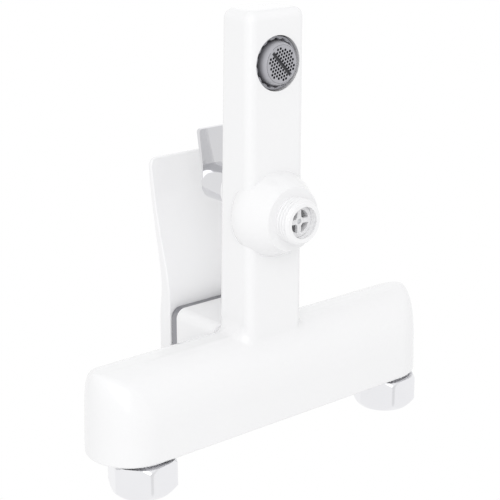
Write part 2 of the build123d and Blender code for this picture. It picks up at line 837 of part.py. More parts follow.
with BuildPart() as diverter_knob:
    knob_profile = [
        (0, knob_under_z),
        (knob_foot_r, knob_under_z),
        (knob_r, knob_under_z + knob_foot),
        (knob_r, knob_top_z),
        (0, knob_top_z),
    ]
    turned(knob_profile, 0, diverter_y)
    with BuildSketch(Plane(origin=(0, 0, 0), x_dir=(0, 1, 0), z_dir=(1, 0, 0))):
        with BuildLine():
            Polyline(
                (diverter_y, knob_top_z),
                (paddle_slope_y, knob_top_z),
                (paddle_tip_y, paddle_tip_top_z),
                (paddle_tip_y, paddle_tip_under_z),
                (diverter_y - knob_r, paddle_neck_z),
                (diverter_y, paddle_neck_z),
                close=True,
            )
        make_face()
    extrude(amount=paddle_half_x, both=True)
    ends = diverter_knob.edges().filter_by(Axis.Z).group_by(Axis.Y)[0]
    fillet(ends, paddle_tip_corner)
    well(0, diverter_y, knob_cavity_r, knob_under_z, knob_cavity_z)
    well(0, diverter_y, spindle_r, knob_cavity_z, spindle_top_z)
    with BuildSketch(Plane(origin=(0, diverter_y, knob_screw_z), z_dir=(0, 1, 0))):
        Circle(knob_screw_r)
    extrude(amount=knob_r, mode=Mode.SUBTRACT)

with BuildPart() as knob_screw:
    screw_start_y = diverter_y + spindle_r + knob_screw_gap
    with BuildSketch(Plane(origin=(0, screw_start_y, knob_screw_z), z_dir=(0, 1, 0))):
        Circle(knob_screw_r)
    extrude(amount=knob_screw_length)

# Shower outlet nipple with its seal and check valve
with BuildPart() as shower_nipple:
    nipple_profile = [
        (nipple_bore_r, nipple_end_z),
        (nipple_thread_r - nipple_chamfer, nipple_end_z),
        (nipple_thread_r, nipple_end_z + nipple_chamfer),
        (nipple_thread_r, flare_end_z),
        (nipple_shank_r, flare_end_z),
        (nipple_shank_r, nipple_shank_top_z),
        (nipple_inner_r, nipple_shank_top_z),
        (nipple_inner_r, nipple_step_z),
        (nipple_bore_r, nipple_step_z),
    ]
    turned(nipple_profile, 0, nipple_y)

with BuildPart() as nipple_seal:
    with BuildSketch(Plane.XY.offset(nipple_shank_top_z)):
        with Locations((0, nipple_y)):
            Circle(nipple_shank_r)
            Circle(nipple_inner_r, mode=Mode.SUBTRACT)
    extrude(amount=nipple_seat_z - nipple_shank_top_z)

with BuildPart() as check_valve_body:
    valve_profile = [
        (valve_inner_r, valve_end_z),
        (valve_r, valve_end_z),
        (valve_r, nipple_step_z),
        (valve_seat_r, nipple_step_z),
        (valve_seat_r, nipple_step_z - valve_seat),
        (valve_inner_r, nipple_step_z - valve_seat),
    ]
    turned(valve_profile, 0, nipple_y)
    with BuildSketch(Plane.XY.offset(valve_end_z)):
        with Locations((0, nipple_y)):
            Rectangle(2 * valve_inner_r + valve_seat, spider_bar)
            Rectangle(spider_bar, 2 * valve_inner_r + valve_seat)
            Circle(spider_hub_r)
            Circle(poppet_stem_r + poppet_stem_gap, mode=Mode.SUBTRACT)
    extrude(amount=spider_height)

poppet_top_z = nipple_step_z - valve_seat
with BuildPart() as check_poppet:
    poppet_profile = [
        (0, poppet_stem_end_z),
        (poppet_stem_r, poppet_stem_end_z),
        (poppet_stem_r, poppet_top_z - poppet_disc),
        (poppet_r, poppet_top_z - poppet_disc),
        (poppet_r, poppet_top_z),
        (0, poppet_top_z),
    ]
    turned(poppet_profile, 0, nipple_y)

spring_foot_z = valve_end_z + spider_height + spring_wire_r + spring_gap
spring_head_z = poppet_top_z - poppet_disc - spring_wire_r - spring_gap
with BuildPart() as check_spring:
    with BuildLine(Plane(origin=(0, nipple_y, spring_foot_z))) as coil:
        Helix((spring_head_z - spring_foot_z) / spring_turns, spring_head_z - spring_foot_z, spring_r)
    with BuildSketch(Plane(origin=coil.line @ 0, z_dir=coil.line % 0)):
        RegularPolygon(spring_wire_r, spring_wire_sides)
    sweep(is_frenet=True)

# Aerator
with BuildPart() as aerator_shell:
    shell_profile = [
        (shell_lip_r, ring_z),
        (shell_flange_r, ring_z),
        (shell_flange_r, ring_z + shell_flange),
        (aerator_thread_r, ring_z + shell_flange),
        (aerator_thread_r, shell_top_z),
        (shell_inner_r, shell_top_z),
        (shell_inner_r, shell_lip_top_z),
        (shell_lip_r, shell_lip_top_z),
    ]
    turned(shell_profile, 0, aerator_y)
    slot_half = math.radians(intake_slot_deg) / 2
    for index in range(intake_slots):
        start = 2 * math.pi * index / intake_slots
        fan = [(0, aerator_y)]
        for step in (-1, 0, 1):
            angle = start + step * slot_half
            fan.append((intake_slot_r * math.cos(angle), aerator_y + intake_slot_r * math.sin(angle)))
        with BuildSketch(Plane.XY.offset(ring_z)):
            with BuildLine():
                Polyline(*fan, close=True)
            make_face()
        extrude(amount=shell_lip_top_z - ring_z, mode=Mode.SUBTRACT)

slot_cos = math.cos(math.radians(coin_slot_deg))
slot_sin = math.sin(math.radians(coin_slot_deg))
hole_spots = []
reach = 2 * int(hole_field_r / hole_pitch)
for row in range(-reach, reach + 1):
    for column in range(-reach, reach + 1):
        along = hole_pitch * (column + row / 2)
        across = hole_pitch * row * math.sqrt(3) / 2
        inside = math.hypot(along, across) < hole_field_r
        if inside and abs(across) > coin_slot_width / 2 + hole_r / 2:
            x = along * slot_cos - across * slot_sin
            y = along * slot_sin + across * slot_cos
            hole_spots.append((x, aerator_y + y))

with BuildPart() as aerator_face:
    face_profile = [
        (0, face_z),
        (face_r, face_z),
        (face_root_r, shell_lip_top_z),
        (face_shoulder_r, shell_lip_top_z),
        (face_shoulder_r, face_top_z),
        (face_bore_r, face_top_z),
        (face_bore_r, face_z + face_thick),
        (0, face_z + face_thick),
    ]
    turned(face_profile, 0, aerator_y)
    with BuildSketch(Plane.XY.offset(face_z)):
        with Locations(*hole_spots):
            RegularPolygon(hole_r, hole_sides)
    extrude(amount=face_thick, mode=Mode.SUBTRACT)
    with BuildSketch(Plane.XY.offset(face_z)):
        with Locations(Location((0, aerator_y), coin_slot_deg)):
            Rectangle(coin_slot_length, coin_slot_width)
    extrude(amount=coin_slot_depth, mode=Mode.SUBTRACT)

with BuildPart() as aerator_core:
    with BuildSketch(Plane.XY.offset(core_under_z)):
        with Locations((0, aerator_y)):
            Circle(core_r)
            Circle(core_hole_r, mode=Mode.SUBTRACT)
            with PolarLocations(core_hole_ring_r, core_holes):
                Circle(core_hole_r, mode=Mode.SUBTRACT)
    extrude(amount=core_top_z - core_under_z)

with BuildPart() as aerator_screen:
    with BuildSketch(Plane.XY.offset(screen_under_z)):
        with Locations((0, aerator_y)):
            Circle(core_r)
    extrude(amount=screen_thick)

with BuildPart() as aerator_washer:
    with BuildSketch(Plane.XY.offset(shell_top_z)):
        with Locations((0, aerator_y)):
            Circle(aerator_washer_r)
            Circle(aerator_washer_bore_r, mode=Mode.SUBTRACT)
    extrude(amount=aerator_washer_top_z - shell_top_z)

# Labels and files
nodes = {
    "mixer_body": mixer_body,
    "union_nut_left": union_nut_left,
    "union_nut_right": union_nut_right,
    "inlet_tail_left": inlet_tail_left,
    "inlet_tail_right": inlet_tail_right,
    "inlet_washer_left": inlet_washer_left,
    "inlet_washer_right": inlet_washer_right,
    "inlet_strainer_left": inlet_strainer_left,
    "inlet_strainer_right": inlet_strainer_right,
    "cartridge_base": cartridge_base,
    "base_seals": base_seals,
    "disc_seals": disc_seals,
    "fixed_disc": fixed_disc,
    "moving_disc": moving_disc,
    "disc_carrier": disc_carrier,
    "cartridge_housing": cartridge_housing,
    "turret": turret,
    "stem_pin": stem_pin,
    "lever_stem": lever_stem,
    "clamp_nut": clamp_nut,
    "trim_ring": trim_ring,
    "lever": lever,
    "lever_screw": lever_screw,
    "indicator_cap": indicator_cap,
    "diverter_plug": diverter_plug,
    "diverter_spindle": diverter_spindle,
    "diverter_bonnet": diverter_bonnet,
    "diverter_o_ring": diverter_o_ring,
    "diverter_knob": diverter_knob,
    "knob_screw": knob_screw,
    "shower_nipple": shower_nipple,
    "nipple_seal": nipple_seal,
    "check_valve_body": check_valve_body,
    "check_poppet": check_poppet,
    "check_spring": check_spring,
    "aerator_shell": aerator_shell,
    "aerator_face": aerator_face,
    "aerator_core": aerator_core,
    "aerator_screen": aerator_screen,
    "aerator_washer": aerator_washer,
}
for name, node in nodes.items():
    node.part.label = name
    export_step(node.part, "parts/" + name + ".step")
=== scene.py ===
# %% [markdown]
# # A wall-mounted bath shower mixer
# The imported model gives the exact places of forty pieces: a lacquered casting, a lever, a
# diverter, union nuts, a threaded hose outlet and the parts inside them. This lesson dresses
# them: it makes the finer surfaces with numpy, and gives each piece a finish of its own.

# %% Load the fixed frame
import json
import math
import bpy
import bmesh
import numpy as np
from mathutils import Matrix, Vector


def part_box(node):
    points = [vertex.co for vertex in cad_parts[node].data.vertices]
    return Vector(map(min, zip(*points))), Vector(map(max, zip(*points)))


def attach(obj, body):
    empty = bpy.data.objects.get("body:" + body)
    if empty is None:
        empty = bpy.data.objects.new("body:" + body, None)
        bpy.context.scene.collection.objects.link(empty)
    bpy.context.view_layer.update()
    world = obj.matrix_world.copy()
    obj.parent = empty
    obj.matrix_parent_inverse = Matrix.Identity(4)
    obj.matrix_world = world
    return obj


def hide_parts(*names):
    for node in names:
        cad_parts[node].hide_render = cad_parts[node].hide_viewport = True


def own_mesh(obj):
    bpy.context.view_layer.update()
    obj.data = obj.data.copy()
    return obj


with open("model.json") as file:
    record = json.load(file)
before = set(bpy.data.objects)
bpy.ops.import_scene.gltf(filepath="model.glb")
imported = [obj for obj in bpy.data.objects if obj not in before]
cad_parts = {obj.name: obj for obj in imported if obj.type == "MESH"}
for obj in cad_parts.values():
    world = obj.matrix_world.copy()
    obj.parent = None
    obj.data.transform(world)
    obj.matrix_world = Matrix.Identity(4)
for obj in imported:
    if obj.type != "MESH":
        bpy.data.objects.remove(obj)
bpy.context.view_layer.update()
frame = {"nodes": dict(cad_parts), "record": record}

nodes = frame["nodes"]

# %% [markdown]
# ## The camera
# The mixer was photographed from below, left of the spout, with the camera rolled so that the
# spout points up in the picture. Three directions describe such a view: right, up and the way
# the lens looks. They become the columns of the camera's matrix.

# %% Camera at the photograph's viewing angle
right = Vector((0.7716, 0.0, -0.6361))
up = Vector((0.1966, -0.9511, 0.2385))
looks = Vector((0.6049, 0.3090, 0.7339))
camera_place = Vector((-0.3963, -0.2947, -0.4649))
camera_data = bpy.data.cameras.new("picture_camera")
camera_data.lens = 100.8
camera_data.sensor_width = 36.0
camera_data.clip_start = 0.01
camera_data.clip_end = 50.0
camera = bpy.data.objects.new("picture_camera", camera_data)
bpy.context.scene.collection.objects.link(camera)
camera_turn = Matrix((right, up, -looks)).transposed().to_4x4()
camera.matrix_world = Matrix.Translation(camera_place) @ camera_turn
bpy.context.scene.camera = camera
bpy.context.scene.view_settings.view_transform = "Standard"
print("camera stands", [round(v, 3) for v in camera_place])

# %% [markdown]
# ## Shader groups
# Three effects come back in many finishes: the slight unevenness of a sprayed or moulded
# skin, the rings that a lathe leaves, and the patches where hands and cloths have polished a
# surface. Each is built once as a node group with named inputs.


# %% Group maker
def start_group(name, inputs, outputs):
    """A new shader node group with float inputs (name, default) and named outputs."""
    group = bpy.data.node_groups.new(name, "ShaderNodeTree")
    for label, value in inputs:
        socket = group.interface.new_socket(name=label, in_out="INPUT", socket_type="NodeSocketFloat")
        socket.default_value = value
    for label in outputs:
        group.interface.new_socket(name=label, in_out="OUTPUT", socket_type="NodeSocketFloat")
    return group, group.nodes.new("NodeGroupInput"), group.nodes.new("NodeGroupOutput")


def add_node(tree, kind, **values):
    """Adds one node and sets its properties (lower case) or its input sockets (by name)."""
    node = tree.nodes.new(kind)
    for key, value in values.items():
        if hasattr(node, key):
            setattr(node, key, value)
        else:
            node.inputs[key.replace("_", " ").title()].default_value = value
    return node


# %% Sprayed or moulded skin: two noises of different size
skin_inputs = [("Ripple Scale", 420.0), ("Grain Scale", 2600.0), ("Grain Share", 0.3)]
skin, skin_in, skin_out = start_group("skin_unevenness", skin_inputs, ["Height", "Patches"])
coords = add_node(skin, "ShaderNodeTexCoord")
ripple = add_node(skin, "ShaderNodeTexNoise", Detail=2.0, Roughness=0.45)
grain = add_node(skin, "ShaderNodeTexNoise", Detail=1.0)
wide = add_node(skin, "ShaderNodeTexNoise", Scale=22.0, Detail=3.0)
both = add_node(skin, "ShaderNodeMix", data_type="FLOAT")
for texture in (ripple, grain, wide):
    skin.links.new(coords.outputs["Object"], texture.inputs["Vector"])
skin.links.new(skin_in.outputs["Ripple Scale"], ripple.inputs["Scale"])
skin.links.new(skin_in.outputs["Grain Scale"], grain.inputs["Scale"])
skin.links.new(skin_in.outputs["Grain Share"], both.inputs["Factor"])
skin.links.new(ripple.outputs["Fac"], both.inputs["A"])
skin.links.new(grain.outputs["Fac"], both.inputs["B"])
skin.links.new(both.outputs["Result"], skin_out.inputs["Height"])
skin.links.new(wide.outputs["Fac"], skin_out.inputs["Patches"])

# %% Lathe rings: bands of equal distance from the origin
ring_inputs = [("Ring Scale", 900.0), ("Wobble", 0.4)]
rings, rings_in, rings_out = start_group("turned_rings", ring_inputs, ["Height"])
coords = add_node(rings, "ShaderNodeTexCoord")
wave = add_node(rings, "ShaderNodeTexWave", wave_type="RINGS", rings_direction="SPHERICAL", Detail=2.0)
rings.links.new(coords.outputs["Object"], wave.inputs["Vector"])
rings.links.new(rings_in.outputs["Ring Scale"], wave.inputs["Scale"])
rings.links.new(rings_in.outputs["Wobble"], wave.inputs["Distortion"])
rings.links.new(wave.outputs["Fac"], rings_out.inputs["Height"])

# %% Wiped patches: where a surface has been rubbed brighter or left duller
wiped_inputs = [("Patch Scale", 60.0), ("Low", 0.05), ("High", 0.12)]
wiped, wiped_in, wiped_out = start_group("wiped_patches", wiped_inputs, ["Roughness"])
coords = add_node(wiped, "ShaderNodeTexCoord")
cloud = add_node(wiped, "ShaderNodeTexNoise", Detail=4.0, Roughness=0.6)
spread = add_node(wiped, "ShaderNodeMapRange", From_Min=0.3, From_Max=0.7)
wiped.links.new(coords.outputs["Object"], cloud.inputs["Vector"])
wiped.links.new(wiped_in.outputs["Patch Scale"], cloud.inputs["Scale"])
wiped.links.new(cloud.outputs["Fac"], spread.inputs["Value"])
wiped.links.new(wiped_in.outputs["Low"], spread.inputs["To Min"])
wiped.links.new(wiped_in.outputs["High"], spread.inputs["To Max"])
wiped.links.new(spread.outputs["Result"], wiped_out.inputs["Roughness"])
print("groups", [g.name for g in (skin, rings, wiped)])

# %% [markdown]
# ## Finishes
# A finish is a Principled shader whose colour, roughness and bump come from the groups. The
# two colours of a finish are close together and mix over the wide patches, because no real
# coat has one flat colour. The bump distance is a real height in metres.

# %% Finish maker
coat_roughness = 0.03


def finish(name, light, dark, gloss, metal=0.0, coat=0.0, bump=0.00001, ripple_size=420.0,
           grain_size=2600.0, grain_share=0.3, ring_size=None, patch_size=60.0):
    """Two mixed colours, roughness between the two gloss values, bump from skin or lathe rings."""
    material = bpy.data.materials.new(name)
    material.use_nodes = True
    tree = material.node_tree
    shader = tree.nodes["Principled BSDF"]
    shader.inputs["Metallic"].default_value = metal
    shader.inputs["Coat Weight"].default_value = coat
    shader.inputs["Coat Roughness"].default_value = coat_roughness
    surface = add_node(tree, "ShaderNodeGroup", node_tree=skin)
    surface.inputs["Ripple Scale"].default_value = ripple_size
    surface.inputs["Grain Scale"].default_value = grain_size
    surface.inputs["Grain Share"].default_value = grain_share
    blend = add_node(tree, "ShaderNodeMix", data_type="RGBA")
    blend.inputs["A"].default_value = (*light, 1.0)
    blend.inputs["B"].default_value = (*dark, 1.0)
    tree.links.new(surface.outputs["Patches"], blend.inputs["Factor"])
    tree.links.new(blend.outputs["Result"], shader.inputs["Base Color"])
    patches = add_node(tree, "ShaderNodeGroup", node_tree=wiped)
    patches.inputs["Patch Scale"].default_value = patch_size
    patches.inputs["Low"].default_value = gloss[0]
    patches.inputs["High"].default_value = gloss[1]
    tree.links.new(patches.outputs["Roughness"], shader.inputs["Roughness"])
    relief = add_node(tree, "ShaderNodeBump", Distance=bump, Strength=1.0)
    if ring_size:
        lathe = add_node(tree, "ShaderNodeGroup", node_tree=rings)
        lathe.inputs["Ring Scale"].default_value = ring_size
        tree.links.new(lathe.outputs["Height"], relief.inputs["Height"])
    else:
        tree.links.new(surface.outputs["Height"], relief.inputs["Height"])
    tree.links.new(relief.outputs["Normal"], shader.inputs["Normal"])
    return material


# %% [markdown]
# ## The mixer's sixteen finishes
# White lacquer is sprayed on the casting and baked: a hard gloss with the faintest ripple. The
# nuts, the knob and the trim are plated and mirror the room, so their roughness stays low and
# their tone comes from the metal's colour. Turned brass and steel keep their lathe rings.
# Seals and washers are dull. The inner plastics are plain colours that tell them apart.

# %% The finishes, one for each material slot
finishes = {
    "white_lacquer": finish("white_lacquer", (0.915, 0.915, 0.922), (0.90, 0.90, 0.908), (0.16, 0.24),
                            coat=0.35, bump=0.000004, ripple_size=260.0, grain_share=0.12),
    "nut_plate": finish("nut_plate", (0.88, 0.88, 0.90), (0.80, 0.80, 0.82), (0.05, 0.16), metal=1.0,
                        bump=0.000003, ripple_size=700.0, patch_size=120.0),
    "knob_plate": finish("knob_plate", (0.74, 0.74, 0.755), (0.68, 0.68, 0.70), (0.03, 0.08), metal=1.0,
                         bump=0.000002, ripple_size=500.0, patch_size=90.0),
    "chrome_plate": finish("chrome_plate", (0.34, 0.34, 0.36), (0.27, 0.27, 0.29), (0.08, 0.18),
                           metal=1.0, bump=0.000002, ripple_size=600.0, patch_size=150.0),
    "brass": finish("brass", (0.74, 0.57, 0.30), (0.62, 0.46, 0.22), (0.22, 0.38), metal=1.0,
                    bump=0.000012, ring_size=1400.0),
    "steel_pin": finish("steel_pin", (0.62, 0.62, 0.63), (0.52, 0.52, 0.53), (0.2, 0.34), metal=1.0,
                        bump=0.000008, ring_size=1900.0),
    "steel_screen": finish("steel_screen", (0.60, 0.60, 0.61), (0.48, 0.48, 0.49), (0.28, 0.42),
                           metal=1.0, bump=0.00004, ripple_size=1500.0),
    "fibre_washer": finish("fibre_washer", (0.20, 0.19, 0.17), (0.11, 0.10, 0.09), (0.65, 0.85),
                           bump=0.00005, grain_share=0.7),
    "black_rubber": finish("black_rubber", (0.045, 0.045, 0.047), (0.025, 0.025, 0.026), (0.45, 0.7),
                           bump=0.00002),
    "cartridge_plastic": finish("cartridge_plastic", (0.80, 0.80, 0.78), (0.72, 0.72, 0.70), (0.32, 0.45)),
    "carrier_plastic": finish("carrier_plastic", (0.16, 0.30, 0.50), (0.11, 0.23, 0.41), (0.3, 0.45)),
    "valve_plastic": finish("valve_plastic", (0.84, 0.84, 0.85), (0.78, 0.78, 0.79), (0.3, 0.45)),
    "poppet_plastic": finish("poppet_plastic", (0.66, 0.67, 0.69), (0.58, 0.59, 0.61), (0.3, 0.45)),
    "cap_plastic": finish("cap_plastic", (0.84, 0.84, 0.85), (0.78, 0.78, 0.79), (0.12, 0.2), coat=0.3,
                          bump=0.000004),
    "disc_ceramic": finish("disc_ceramic", (0.90, 0.89, 0.87), (0.85, 0.84, 0.81), (0.08, 0.14),
                           bump=0.000002),
    "aerator_plastic": finish("aerator_plastic", (0.38, 0.38, 0.41), (0.30, 0.30, 0.33), (0.28, 0.42),
                              bump=0.000012, ripple_size=900.0),
}
for entry in frame["record"]["subparts"]:
    node = nodes[entry["node"]]
    node.data.materials.clear()
    node.data.materials.append(finishes[entry["material_slot"]])
print("finishes", len(finishes))

# %% [markdown]
# ## Lacquered and plated castings
# The casting, the lever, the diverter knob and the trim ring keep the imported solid's exact
# form. Its mesh is loose triangles, so a copy has its doubles merged. On the plated pieces the
# flat faces are joined too, and a narrow bevel rounds what a real polishing wheel would round.

# %% Normals that keep flat faces flat
plane_tilt = 0.0005
plane_step = 0.00002


def even_normals(mesh, sharp, least_width=0.003):
    """Corner normal: the sum of area times normal over the faces round the vertex that turn less
    than the sharp angle from the corner's own face. A plane wider than least_width keeps its own."""
    vertex = np.empty(len(mesh.loops), dtype=np.int32)
    sides = np.empty(len(mesh.polygons), dtype=np.int32)
    area = np.empty(len(mesh.polygons))
    normal = np.empty((len(mesh.polygons), 3))
    point = np.empty((len(mesh.vertices), 3))
    mesh.loops.foreach_get("vertex_index", vertex)
    mesh.polygons.foreach_get("loop_total", sides)
    mesh.polygons.foreach_get("area", area)
    mesh.polygons.foreach_get("normal", normal.ravel())
    mesh.vertices.foreach_get("co", point.ravel())
    face = np.repeat(np.arange(len(sides)), sides)
    # One row for each vertex lists the faces round it, filled up with -1.
    order = np.argsort(vertex, kind="stable")
    count = np.bincount(vertex, minlength=len(point))
    first = np.cumsum(count) - count
    table = np.full((len(point), count.max()), -1)
    table[vertex[order], np.arange(len(vertex)) - first[vertex[order]]] = face[order]
    around = table[vertex]
    # The faces that look nearly the same way as the corner's own are added up.
    alike = np.einsum("ckj,cj->ck", normal[around], normal[face]) > math.cos(math.radians(sharp))
    mixed = np.einsum("ck,ckj->cj", area[around] * alike * (around >= 0), normal[around])
    mixed /= np.maximum(np.linalg.norm(mixed, axis=1, keepdims=True), 1e-12)
    # Faces of one plane share a rounded normal and depth. A quarter step keeps round values off
    # the rounding edge. A plane's width is its area over its diagonal.
    depth = np.einsum("cj,cj->c", point[vertex], normal[face])
    plane_depth = (np.bincount(face, depth) / sides)[:, None]
    keys = np.round(np.hstack([normal / plane_tilt, plane_depth / plane_step]) + 0.25)
    plane = np.unique(keys, axis=0, return_inverse=True)[1].ravel()
    low = np.full((plane.max() + 1, 3), np.inf)
    high = -low
    np.minimum.at(low, plane[face], point[vertex])
    np.maximum.at(high, plane[face], point[vertex])
    width = np.bincount(plane, area) / np.maximum(np.linalg.norm(high - low, axis=1), 1e-9)
    flat = (width > least_width)[plane]
    mesh.normals_split_custom_set(np.where(flat[face][:, None], normal[face], mixed).tolist())
    print(mesh.name, "flat faces", int(flat.sum()), "of", len(flat))


# %% Placing, working out and dressing a piece
def place(mesh):
    """Puts a mesh in the scene as an object at the origin."""
    piece = bpy.data.objects.new(mesh.name, mesh)
    bpy.context.scene.collection.objects.link(piece)
    return piece


def keep_result(piece):
    """Works out the piece's modifiers once and keeps what they make as its mesh."""
    bpy.context.view_layer.update()
    graph = bpy.context.evaluated_depsgraph_get()
    mesh = bpy.data.meshes.new_from_object(piece.evaluated_get(graph))
    piece.modifiers.clear()
    before = piece.data
    piece.data = mesh
    bpy.data.meshes.remove(before)
    mesh.name = piece.name
    return mesh


def dress(piece, body, source, slot_name):
    """Gives a piece the finish of its slot and its moving body, and hides the node it stands for."""
    piece.data.materials.clear()
    piece.data.materials.append(finishes[slot_name])
    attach(piece, body)
    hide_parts(source)


def shade_smooth(mesh, sharp):
    """Smooth shading, broken at edges sharper than the angle."""
    mesh.polygons.foreach_set("use_smooth", np.ones(len(mesh.polygons), dtype=bool))
    mesh.set_sharp_from_angle(angle=math.radians(sharp))
    mesh.update()


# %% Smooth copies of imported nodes
def rounded_copy(source, name, body, slot_name, edge=0.0, sharp=30.0):
    """A merged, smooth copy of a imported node, with edges sharper than the angle bevelled."""
    mesh = nodes[source].data.copy()
    mesh.name = name
    work = bmesh.new()
    work.from_mesh(mesh)
    bmesh.ops.remove_doubles(work, verts=work.verts, dist=1e-6)
    bmesh.ops.dissolve_degenerate(work, edges=work.edges, dist=1e-7)
    if edge > 0.0:
        bmesh.ops.dissolve_limit(work, angle_limit=math.radians(0.5), verts=work.verts, edges=work.edges)
    work.to_mesh(mesh)
    work.free()
    shade_smooth(mesh, sharp)
    piece = place(mesh)
    if edge > 0.0:
        bevel = piece.modifiers.new("worn_edge", "BEVEL")
        bevel.width = edge
        bevel.segments = 2
        bevel.limit_method = "ANGLE"
        bevel.angle_limit = math.radians(sharp)
        mesh = keep_result(piece)
    even_normals(mesh, sharp)
    dress(piece, body, source, slot_name)
    print(name, "faces", len(mesh.polygons))


# %% The castings
rounded_copy("mixer_body", "lacquered_casting", "fixed_body", "white_lacquer")
rounded_copy("lever", "lacquered_lever", "lever_body", "white_lacquer")
rounded_copy("diverter_knob", "plated_knob", "diverter_body", "knob_plate", edge=0.00035)
rounded_copy("trim_ring", "plated_trim_ring", "fixed_body", "chrome_plate", edge=0.0003)
nodes["diverter_bonnet"].data.materials[0] = finishes["nut_plate"]

# %% [markdown]
# ## Turned pieces with threads
# A nut or a nipple is a closed ring of profile points swept round an axis: out along the
# side, over the end, back through the bore. One array holds every radius at once, so a thread
# is a wave added to the rows of the threaded stretch, and a hexagon is a radius that depends
# on the angle. A pipe thread has 14 turns to the inch and rounded crests.

# %% Thread sizes
pipe_pitch = 0.0254 / 14
thread_depth = 0.64 * pipe_pitch
turn_steps = 120
turn = np.linspace(0.0, 2.0 * np.pi, turn_steps, endpoint=False)


def thread_groove(along, pitch):
    """Depth share 0 at the crest, 1 in the groove: (1 - cos(2 pi (along / pitch - turn / 2 pi))) / 2."""
    phase = along[:, None] / pitch - turn[None, :] / (2.0 * np.pi)
    return 0.5 - 0.5 * np.cos(2.0 * np.pi * phase)


def rows(start, end, count):
    """Evenly spaced places from start to end, as many as count."""
    return np.linspace(start, end, count)


def plain_rows(profile):
    """A list of (place, radius) as the places (row) and as radii that don't change (row, turn)."""
    points = np.array(profile)
    return points[:, 0], np.repeat(points[:, 1:], turn_steps, axis=1)


# %% From arrays to meshes
def outward_mesh(name, points, faces):
    """A smooth mesh, its faces turned outwards: the sum of p0 . (p1 x p2) / 6 must be positive."""
    corners = points[faces]
    volume = np.einsum("ij,ij->i", corners[:, 0], np.cross(corners[:, 1], corners[:, 2])).sum()
    volume += np.einsum("ij,ij->i", corners[:, 0], np.cross(corners[:, 2], corners[:, 3])).sum()
    if volume < 0.0:
        faces = faces[:, ::-1]
    mesh = bpy.data.meshes.new(name)
    mesh.from_pydata(points.tolist(), [], faces.tolist())
    shade_smooth(mesh, 35.0)
    print(name, "faces", len(faces), "volume cm3", round(abs(volume) / 6.0 * 1e6, 3))
    return mesh


def lathe_mesh(name, radius, along, centre, axis, poles=False):
    """Closed mesh of radius (row, turn) and place along the axis (row): each row joins the next,
    and the last row the first, unless both lie on the axis as poles."""
    across = {"y": (0, 2, 1), "z": (0, 1, 2)}[axis]
    points = np.empty((radius.shape[0], turn_steps, 3))
    points[..., across[0]] = radius * np.cos(turn) + centre[across[0]]
    points[..., across[1]] = radius * np.sin(turn) + centre[across[1]]
    points[..., across[2]] = along[:, None] + centre[across[2]]
    corner = np.arange(points.shape[0] * turn_steps).reshape(points.shape[0], turn_steps)
    onward = np.roll(corner, -1, axis=0)
    faces = np.stack([corner, np.roll(corner, -1, axis=1), np.roll(onward, -1, axis=1), onward], axis=-1)
    if poles:
        faces = faces[:-1]
    return outward_mesh(name, points.reshape(-1, 3), faces.reshape(-1, 4))


def tube_faces(shape):
    """Faces of tubes whose points are numbered by tube, step and side. Each round closes on itself."""
    corner = np.arange(math.prod(shape)).reshape(shape)
    beside = np.roll(corner, -1, axis=2)
    faces = np.stack([corner[:, :-1], beside[:, :-1], beside[:, 1:], corner[:, 1:]], axis=-1)
    return faces.reshape(-1, 4)


def merge_points(mesh, distance):
    """Joins points closer than the distance, which closes poles and tube ends, and turns all faces out."""
    work = bmesh.new()
    work.from_mesh(mesh)
    bmesh.ops.remove_doubles(work, verts=work.verts, dist=distance)
    bmesh.ops.recalc_face_normals(work, faces=work.faces)
    work.to_mesh(mesh)
    work.free()


# %% [markdown]
# ## Union nuts
# A union nut is a hexagon bar turned at both ends, so each end is a cone that cuts the six
# corners. Both limits are smooth minimums: 1 / r to a high power is added, which rounds the
# edge where the two shapes meet. The wall end has the thread, the other end a collar that
# pulls on the tail.

# %% Nut sizes: length and place from the frame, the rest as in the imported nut
nut_low, nut_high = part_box("union_nut_left")
inlet_reach = -(nut_low[0] + nut_high[0]) / 2.0
nut_length = nut_high[1] - nut_low[1]
nut_half = 0.01425
nut_corner = nut_half / math.cos(math.pi / 6)
nut_middle = (0.0048, 0.0124)
wall_chamfer = 0.0032
bar_chamfer = 0.0016
nut_thread = 0.01206
nut_thread_length = 0.0076
nut_mouth = 0.0012
nut_groove_share = 0.8
nut_relief = 0.0123
nut_collar_start = 0.0120
nut_barrel = 0.01068
corner_power = 40.0
edge_power = 60.0
end_rows = 5
wall_rows = 7
nut_cut_rows = 44


def smooth_minimum(first, second, power):
    """(first^-power + second^-power)^(-1/power)"""
    return (first ** -power + second ** -power) ** (-1.0 / power)


# %% One nut
def union_nut(name, side, degrees):
    """Hexagon with turned ends, a threaded mouth at the wall, a relief and a collar."""
    flats = np.radians(np.arange(30.0, 390.0, 60.0) + degrees)
    towards = np.clip(np.cos(turn[None, :] - flats[:, None]), 0.0, None)
    hexagon = nut_half * (towards ** corner_power).sum(axis=0) ** (-1.0 / corner_power)
    wall_end = rows(0.0, wall_chamfer, wall_rows)
    bar_end = rows(nut_length - bar_chamfer, nut_length, end_rows)
    depth = np.concatenate([wall_end, rows(*nut_middle, end_rows), bar_end])
    turned = np.minimum(nut_corner - wall_chamfer + depth, nut_corner)
    turned = np.minimum(turned, nut_corner - bar_chamfer + nut_length - depth)
    outside = smooth_minimum(hexagon[None, :], turned[:, None], edge_power)
    bore_depth, bore = plain_rows([
        (nut_length, nut_barrel), (nut_collar_start, nut_barrel),
        (nut_collar_start, nut_relief), (nut_thread_length, nut_relief)])
    cut = rows(nut_thread_length, 0.0, nut_cut_rows)
    mouth = np.clip(1.0 - cut / nut_mouth, 0.0, 1.0)
    groove = np.maximum(nut_groove_share * thread_groove(cut, pipe_pitch), mouth[:, None])
    radius = np.concatenate([outside, bore, nut_thread + thread_depth * groove])
    along = -np.concatenate([depth, bore_depth, cut])
    return lathe_mesh(name, radius, along, (side * inlet_reach, 0.0, 0.0), "y")


